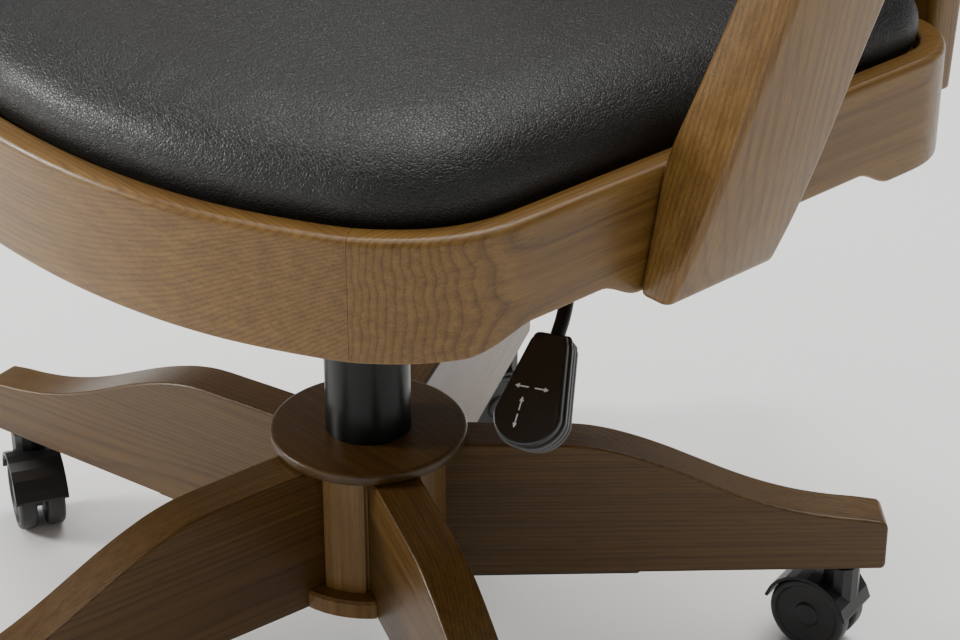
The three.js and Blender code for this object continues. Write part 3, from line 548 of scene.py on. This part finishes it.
rail("seat_front_rail", list(range(j_fl, j_fr + 1)), wood("wood_front_rail", loc=(0.0, 0.10, -0.30), ring=0.0017, contrast=0.85, wobble=0.0008, along=0.3, seed=2.0), "front_rail")
rail("seat_side_rail_left", list(range(j_bl, j_fl + 1)), wood("wood_side_left", rot=(0, 0, radians(-90)), loc=(0.0, -0.198, -0.386), ring=0.0027, contrast=0.95, wobble=0.0013, seed=7.0), "side_rail_left")
rail("seat_side_rail_right", list(range(j_fr, j_br + 1)), wood("wood_side_right", rot=(0, 0, radians(-90)), loc=(0.0, 0.198, -0.378), ring=0.0027, contrast=0.95, wobble=0.0013, seed=9.0), "side_rail_right")
rail("seat_back_rail", list(range(j_br, j_bl + n_out + 1)), wood("wood_back_rail", loc=(0.0, -0.14, -0.33), ring=0.0022, contrast=0.7, wobble=0.003, seed=5.0), "back_rail")
give(frame["nodes"]["seat_board"], M_PLY)

# ------------------------------------------------------------------ seat cushion
def offset_ring(d, z, step=2):
    pts = []
    for i in range(0, n_out, step):
        pts.append(Vector((OUT[i].x + INW[i].x * d, OUT[i].y + INW[i].y * d, z)))
    return pts
def swell(ob, voxel, pressure, frames, cap_mm, smooth=2, subdiv=1):
    """Inflates a closed form as leather over foam: remesh, cloth with pressure, capped travel."""
    for o in bpy.context.view_layer.objects: o.select_set(False)
    bpy.context.view_layer.objects.active = ob
    ob.select_set(True)
    r = ob.modifiers.new("remesh", "REMESH"); r.mode = "VOXEL"; r.voxel_size = voxel * MM; r.use_smooth_shade = True
    bpy.ops.object.modifier_apply(modifier=r.name)
    rest = [v.co.copy() for v in ob.data.vertices]
    c = ob.modifiers.new("cloth", "CLOTH")
    s = c.settings
    s.quality = 5; s.mass = 0.35
    s.tension_stiffness = 18; s.compression_stiffness = 18; s.shear_stiffness = 8; s.bending_stiffness = 1.2
    s.use_pressure = True; s.uniform_pressure_force = pressure
    s.effector_weights.gravity = 0
    c.collision_settings.use_collision = False
    scene.frame_start = 1; scene.frame_end = frames + 1
    for f in range(1, frames + 1): scene.frame_set(f)
    dg = bpy.context.evaluated_depsgraph_get()
    ev = ob.evaluated_get(dg)
    pts = [v.co.copy() for v in ev.data.vertices]
    ob.modifiers.remove(c)
    scene.frame_set(1)
    for v, a, b in zip(ob.data.vertices, rest, pts):
        d = b - a
        L = d.length
        m = cap_mm * MM
        v.co = a + (d * (m * (1 - 2.718281828 ** (-L / m)) / L) if L > 1e-9 else d)
    if smooth:
        bm = bmesh.new(); bm.from_mesh(ob.data)
        for _ in range(smooth): bmesh.ops.smooth_vert(bm, verts=bm.verts, factor=0.5, use_axis_x=True, use_axis_y=True, use_axis_z=True)
        bm.to_mesh(ob.data); bm.free()
    for p in ob.data.polygons: p.use_smooth = True
    if subdiv:
        m = ob.modifiers.new("fine", "SUBSURF"); m.levels = subdiv; m.render_levels = subdiv
    return ob

SHOULDER = [(24.0, 407.6), (17.5, 408.2), (15.4, 411), (14.8, 417), (13.8, 421), (13.6, 425), (14.6, 430), (17.2, 436), (21.5, 441.6), (27.5, 446.6),
            (35, 450.4), (44, 453.2), (56, 455.6)]
rings = [offset_ring(d, z) for d, z in SHOULDER]
inner = offset_ring(56, 0)
n_in = len(inner)
for k in range(1, 15):
    f = 1 - k / 15.0
    rings.append([Vector((p.x * f, p.y * f, 455.6 + 7.0 * (1 - f * f))) for p in inner])
bottom = [Vector((p.x * 0.06, p.y * 0.06, 407.6)) for p in inner]
rings = [[Vector((p.x * f, p.y * f, 407.6)) for p in offset_ring(24.0, 0)] for f in (0.06, 0.5)] + rings
cush = loft("seat_pad", [[p * MM for p in r] for r in rings], sharp=180)
swell(cush, 4.5, 2.2, 16, 3.0, smooth=3)
piece(cush, "seat", M_LEATHER, "black_leather", "seat_cushion")

# ------------------------------------------------------------------ arm posts
def table(pts, v):
    for (a, b), (c, d) in zip(pts, pts[1:]):
        if a <= v <= c: return b + (d - b) * (v - a) / (c - a)
    return pts[0][1] if v < pts[0][0] else pts[-1][1]
def smooth_table(pts):
    c = catmull([(a, b, 0) for a, b in pts], 240)
    return [(v.x, v.y) for v in c]
inner_face = smooth_table([(417, 239.7), (427, 241.5), (456, 250), (508, 265), (556, 278), (600, 287), (639.4, 290)])
outer_face = smooth_table([(354.5, 258.7), (380, 267), (417, 276.5), (456, 285), (508, 297), (556, 308), (600, 316), (639.4, 319)])
def post(name, s, node, mat):
    rings = []
    zs = [354.5, 354.8, 355.6, 357.2] + [360 + 4 * i for i in range(69)] + [637.4, 638.8, 639.4]
    for k, z in enumerate(zs):
        xi = 239.6 if z < 417 else table(inner_face, z)
        xi = min(xi, table(outer_face, z) - 10)
        xo = table(outer_face, z)
        yf, yb = -27 + (z - 354.5) * 0.208, 48 + (z - 354.5) * 0.20
        e = {0: 1.8, 1: 0.9, 2: 0.3, len(zs) - 1: 1.2, len(zs) - 2: 0.4}.get(k, 0.0)
        w, h = xo - xi - 2 * e, yb - yf - 2 * e
        cx, cy = (xi + xo) / 2, (yf + yb) / 2
        rings.append([Vector((s * (cx + x), cy + y, z)) * MM for x, y in round_rect(w, h, 4.0, 5)])
    if s < 0: rings = [list(reversed(r)) for r in rings]
    return piece(loft(name, rings, sharp=42), "seat", mat, "wood", node)
post("post_left", 1, "arm_post_left", wood("wood_post_left", rot=(0, radians(80), 0), loc=(0, 0.06, 0.02), ring=0.0030, contrast=0.8, wobble=0.004, seed=3.0, tone=1.04))
post("post_right", -1, "arm_post_right", wood("wood_post_right", rot=(0, radians(100), 0), loc=(0, 0.05, 0.03), ring=0.0030, contrast=0.8, wobble=0.004, seed=6.0, tone=1.04))

# ------------------------------------------------------------------ back
def stile_line(s):
    return catmull([(s * 188, 240.8, 371.2), (s * 188, 244.2, 420), (s * 187, 252.2, 500), (s * 184, 268.2, 610), (s * 180, 290.2, 730), (s * 176, 318.2, 866)], 60)
for nm, s in (("left", 1), ("right", -1)):
    mat = wood("wood_stile_" + nm, rot=(radians(0), radians(90), 0), loc=(0, 0.03, 0.15 * s), ring=0.0028, contrast=0.7, seed=8.0 + s)
    piece(sweep("stile_" + nm, stile_line(s), lambda t: round_rect(34, 24, 5.5, 5), (1, 0, 0), 1.6), "seat", mat, "wood", "back_stile_" + nm)
line = [Vector((u * 166.5, 257.5 + 14 * (1 - u * u), 520)) for u in [-1 + i / 30 for i in range(61)]]
piece(sweep("back_lower_rail", line, lambda t: round_rect(20, 52, 5, 5), (0, 1, 0), 0.8), "seat", wood("wood_lower", loc=(0, -0.22, -0.46), ring=0.0022, contrast=0.7, seed=11.0), "wood", "lower_back_rail")
line = [Vector((u * 205, 312.3 + 22 * (1 - u * u), 885 + 12 * (1 - u * u))) for u in [-1 + i / 48 for i in range(97)]]
piece(sweep("back_crest_rail", line, lambda t: round_rect(30, 66 - 26 * abs(2 * t - 1) ** 3, 9, 7), (0, 1, 0), 5.0), "seat", wood("wood_crest", loc=(0, -0.27, -0.83), ring=0.0030, contrast=0.85, seed=12.0), "wood", "crest_rail")

pad_rings = []
for d, k in ((-15.0, 0.10), (-16.2, 0.5), (-16.0, 0.86), (-14.5, 0.955), (-9, 0.992), (0, 1.0), (8, 0.992), (14, 0.962), (18.5, 0.90), (21, 0.78), (22.6, 0.5), (23.0, 0.10)):
    r = []
    for x, z in round_rect(316 * k, 282 * (k + (1 - k) * 0.25), max(4, 36 * k), 12):
        zz = 696 + z; y = 270.5 + (zz - 552) * 0.19 + 14 * (1 - (x / 180) ** 2)
        r.append(Vector((x, y - d, zz)) * MM)
    pad_rings.append(r)
bp = loft("back_pad", pad_rings, sharp=180)
swell(bp, 4.5, 2.2, 16, 3.5, smooth=3)
piece(bp, "seat", M_LEATHER, "black_leather", "back_cushion")

# Short dowels hold the back pad between the stiles.
for k, (s, z, xs) in enumerate(((1, 612, 184), (1, 782, 178.5), (-1, 612, 184), (-1, 782, 178.5))):
    yc = table([(610, 270.5), (730, 291.5), (866, 318)], z) + 3.0
    pin = lathe("pad_dowel_%d" % (k + 1), soft_profile([(0, xs - 34), (5.2, xs - 34), (5.2, xs - 15.5), (0, xs - 15.5)], 0.5, 2), 28, (0, yc, z), axis="X")
    if s < 0:
        for v in pin.data.vertices: v.co.x = -v.co.x
        pin.data.flip_normals()
    piece(pin, "seat", M_BSTEEL, "black_steel")

def armrest(name, s, node):
    base = catmull([(204.5, 270.5, 652.5), (222, 258, 652.5), (246, 232, 652), (282, 180, 651.5), (304, 100, 651), (306, 20, 651), (303, -40, 651.5), (298, -84, 652)], 110)
    def sec(t):
        end = sqrt(max(0.03, 1 - ((t - 0.86) / 0.14) ** 2)) if t > 0.86 else 1
        w = (34 + 17 * min(1, t * 1.6)) * (0.35 + 0.65 * end)
        return round_rect(w, 22 * (0.72 + 0.28 * end), 8 * (0.5 + 0.5 * end), 7)
    ob = sweep(name, [Vector((s * p.x, p.y, p.z)) for p in base], sec, (1, 0, 0), 1.0)
    mat = wood("wood_" + name, rot=(0, 0, radians(-90)), loc=(0, -0.30 * s, -0.60), ring=0.0030, contrast=0.9, seed=13.0 + s)
    return piece(ob, "seat", mat, "wood", node)
armrest("arm_left", 1, "armrest_left")
armrest("arm_right", -1, "armrest_right")

# ------------------------------------------------------------------ mechanism
for nm, mat, w in (("mechanism_housing", M_BSTEEL, 1.2), ("lever_bracket", M_BSTEEL, 0.6), ("tilt_axle", M_STEEL, 0.5), ("tension_bolt", M_STEEL, 0.4),
                   ("tension_knob", M_PLASTIC, 0.9), ("seat_plate", M_BSTEEL, 0.7), ("release_arm", M_BSTEEL, 0.5)):
    ob = frame["nodes"][nm]; give(ob, mat); bevel(ob, w, 3, 40)
coil = []
for i in range(0, 361):
    a = 2 * pi * i / 72
    coil.append(Vector((12.5 * cos(a), -56 + 12.5 * sin(a), 309 + 21.5 * i / 360)))
spring = sweep("tension_spring_coil", coil, lambda t: round_rect(3, 3, 1.49, 3), (0, 0, 1), 0.3, sharp=60)
piece(spring, "chassis", M_STEEL, "bright_steel", "tilt_spring")
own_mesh(spring)

# ------------------------------------------------------------------ lever
lever_line = [(82, 30, 355), (93, 30, 354), (110, 29.3, 347), (131, 25, 333.5), (147, 16.5, 320.5), (156.5, 7.5, 309.5), (161.2, 0.53, 301.6), (164.56, -7.2, 293.06), (167.38, -13.64, 285.95)]
rodp = catmull(lever_line, 100)
rod = sweep("lever_bent_rod", rodp, lambda t: round_rect(7.8, 7.8, 3.88, 6), (0, 0, 1), 0.4, sharp=60)
piece(rod, "lever", M_COLUMN, "black_steel", "lever_rod")
eye = lathe("lever_eye", soft_profile([(0, 347), (2.4, 347), (2.4, 352.8), (6.2, 352.8), (6.2, 358.4), (0, 358.4)], 0.7, 3), 48, (82, 30, 0))
piece(eye, "lever", M_BSTEEL, "black_steel")

PM = Matrix(((0.28205, 0.95063, 0.12941, 164.58), (-0.64432, 0.28763, -0.7086, -11.68), (-0.71084, 0.11648, 0.69364, 297.13), (0, 0, 0, 1)))
PL = 60.3
def paddle_outline(g):
    """Points round the paddle, from the rod end to the rounded tip and back; g grows it outwards."""
    up = []
    r = 3.0   # corner radius at the rod end
    for k in range(7):
        a = radians(90 * k / 6)
        up.append((r - (r + g) * cos(a), 9.8 + g - r + r * sin(a)))
    for k in range(1, 26):
        x = r + (44 - r) * k / 25
        up.append((x, 9.8 + 10.1 * x / 46 + g))
    h0 = 9.8 + 10.1 * 44 / 46 + g
    for k in range(1, 37):
        a = radians(90 * k / 36)
        up.append((44 + (PL + g - 44) * sin(a), h0 * max(0.0, cos(a)) ** 0.92))
    return [(x, -y) for x, y in up[:-1]] + [(up[-1][0], 0.0)] + [(x, y) for x, y in reversed(up[:-1])]
def plate_rings(levels):
    rings = []
    for z, g in levels:
        rings.append([(PM @ Vector((x, y, z))) * MM for x, y in paddle_outline(g)])
    return rings
top = loft("paddle_face_plate", plate_rings([(-4.2, -0.4), (-3.9, 0.0), (-1.3, 0.0), (-0.75, -0.12), (-0.3, -0.45), (-0.05, -0.95), (0.0, -1.4), (-0.12, -2.2), (-0.25, -3.2)]), sharp=50)
piece(top, "lever", M_TOPPLATE, "black_plastic", "paddle_top")
shell = loft("paddle_under_shell", plate_rings([(-16.5, -2.8), (-16.35, -1.6), (-15.8, -0.7), (-14.9, -0.2), (-13.0, 0.05), (-12.6, -0.35), (-12.2, -0.35), (-11.8, 0.15), (-9.2, 0.4), (-8.8, -0.1), (-8.4, -0.1), (-8.0, 0.45), (-6.0, 0.95), (-4.95, 1.15), (-4.6, 0.9), (-4.5, 0.1)]), sharp=30)
piece(shell, "lever", M_GREY, "grey_plastic", "paddle_shell")
# Plain arrows on the face plate: two apart for the swing, two apart for the lift.
def mark(name, pts2d, zz=-0.17):
    n = len(pts2d)
    verts = [(PM @ Vector((x, y, zz))) * MM for x, y in pts2d] + [(PM @ Vector((x, y, -0.6))) * MM for x, y in pts2d]
    faces = [tuple(range(n)), tuple(reversed(range(n, 2 * n)))] + [(i, (i + 1) % n, n + (i + 1) % n, n + i) for i in range(n)]
    ob = new_obj(name, verts, faces, False)
    return piece(ob, "lever", M_MARK, "grey_plastic")
def arrow(cx, cy, dx, dy, L=7.0, w=0.8, hw=1.7, hl=2.4):
    P = [(0, -w / 2), (L - hl, -w / 2), (L - hl, -hw), (L, 0), (L - hl, hw), (L - hl, w / 2), (0, w / 2)]
    return [(cx + dx * x - dy * y, cy + dy * x + dx * y) for x, y in P]
mark("mark_swing_a", arrow(30, 0.3, 0, 1, 8.2, 0.75, 1.3, 2.6)); mark("mark_swing_b", arrow(30, -3.2, 0, -1, 8.2, 0.75, 1.3, 2.6))
mark("mark_lift_a", arrow(44.8, -5.0, 1, 0, 7.5, 0.75, 1.3, 2.6)); mark("mark_lift_b", arrow(42.8, -5.0, -1, 0, 7.5, 0.75, 1.3, 2.6))

# ------------------------------------------------------------------ casters
for i, az in enumerate(LEG_AZ):
    n = i + 1
    fork = frame["nodes"]["caster_%d_fork" % n]; give(fork, M_PLASTIC); bevel(fork, 0.8, 3, 45)
    M = Matrix.Rotation(radians(az), 4, "Z") @ Matrix.Translation(Vector((286, 0, 0))) @ Matrix.Rotation(radians(180 - 36), 4, "Z") @ Matrix.Translation(Vector((15, 0, 25)))
    for k, s in (("a", 1), ("b", -1)):
        prof = soft_profile([(0, 3.4), (23.4, 3.4), (25, 5.0), (25, 13.6), (23.2, 15.3), (20.5, 15.3), (19.6, 13.4), (8.2, 12.6), (7.4, 14.6), (5.2, 15.0), (0, 15.0)], 0.9, 3)
        w = lathe("wheel_%d%s" % (n, k), prof, 72)
        Mw = M @ Matrix.Rotation(radians(-90 if s > 0 else 90), 4, "X")
        Mm = Mw.copy(); Mm.translation = Mw.translation * MM
        w.data.transform(Mm)
        # The wheel mesh goes through bmesh and back unchanged; no spokes are added.
        bm = bmesh.new(); bm.from_mesh(w.data)
        bm.to_mesh(w.data); bm.free()
        piece(w, "wheel_%d%s" % (n, k), M_TREAD, "grey_plastic", "caster_%d_wheel_%s" % (n, k))

# ------------------------------------------------------------------ floor and light
fm = N("floor_paint")
fp = fm.coords()
fm.set(Base_Color=fm.mix(fm.noise(fp, 2.0, 3.0, 0.5), (0.90, 0.897, 0.888), (0.93, 0.928, 0.92)), Roughness=fm.math("MULTIPLY_ADD", fm.noise(fp, 60, 2.0), 0.1, 0.55))
fl = new_obj("floor", [(-40, -40, 0), (40, -40, 0), (40, 40, 0), (-40, 40, 0)], [(0, 1, 2, 3)], False)
give(fl, fm.mat)

def area(name, loc, target, size, power, color=(1, 1, 1), size_y=None):
    d = bpy.data.lights.new(name, "AREA")
    d.energy = power; d.color = color; d.size = size
    if size_y: d.shape = "RECTANGLE"; d.size_y = size_y
    o = bpy.data.objects.new(name, d)
    scene.collection.objects.link(o)
    o.location = loc
    o.rotation_euler = (Vector(target) - Vector(loc)).to_track_quat("-Z", "Y").to_euler()
    return o
area("top_high", (-0.5, 1.2, 3.0), (-0.1, 0.2, 0.0), 2.0, 52, (1, 0.995, 0.98))
sky = bpy.data.lights.new("ceiling", "SUN")
sky.energy = 2.35; sky.angle = radians(70); sky.color = (1, 0.995, 0.985)
so = bpy.data.objects.new("ceiling", sky); scene.collection.objects.link(so)
so.location = (-0.3, 0.5, 3.0)
so.rotation_euler = Vector((0.10, -0.16, -1.0)).to_track_quat("-Z", "Y").to_euler()
area("front_left", (-1.70, -1.60, 1.20), (0, -0.2, 0.42), 0.6, 52, (1, 0.99, 0.97))
area("front_fill", (0.55, -2.8, 0.95), (0, 0, 0.30), 1.7, 12, (1, 0.975, 0.94))
area("right_fill", (2.8, 0.6, 1.6), (0, 0, 0.35), 2.0, 4, (1, 0.985, 0.96))
world = bpy.data.worlds.new("studio")
scene.world = world
world.use_nodes = True
bg = world.node_tree.nodes["Background"]
bg.inputs[0].default_value = (0.95, 0.97, 1.0, 1)
bg.inputs[1].default_value = 0.22
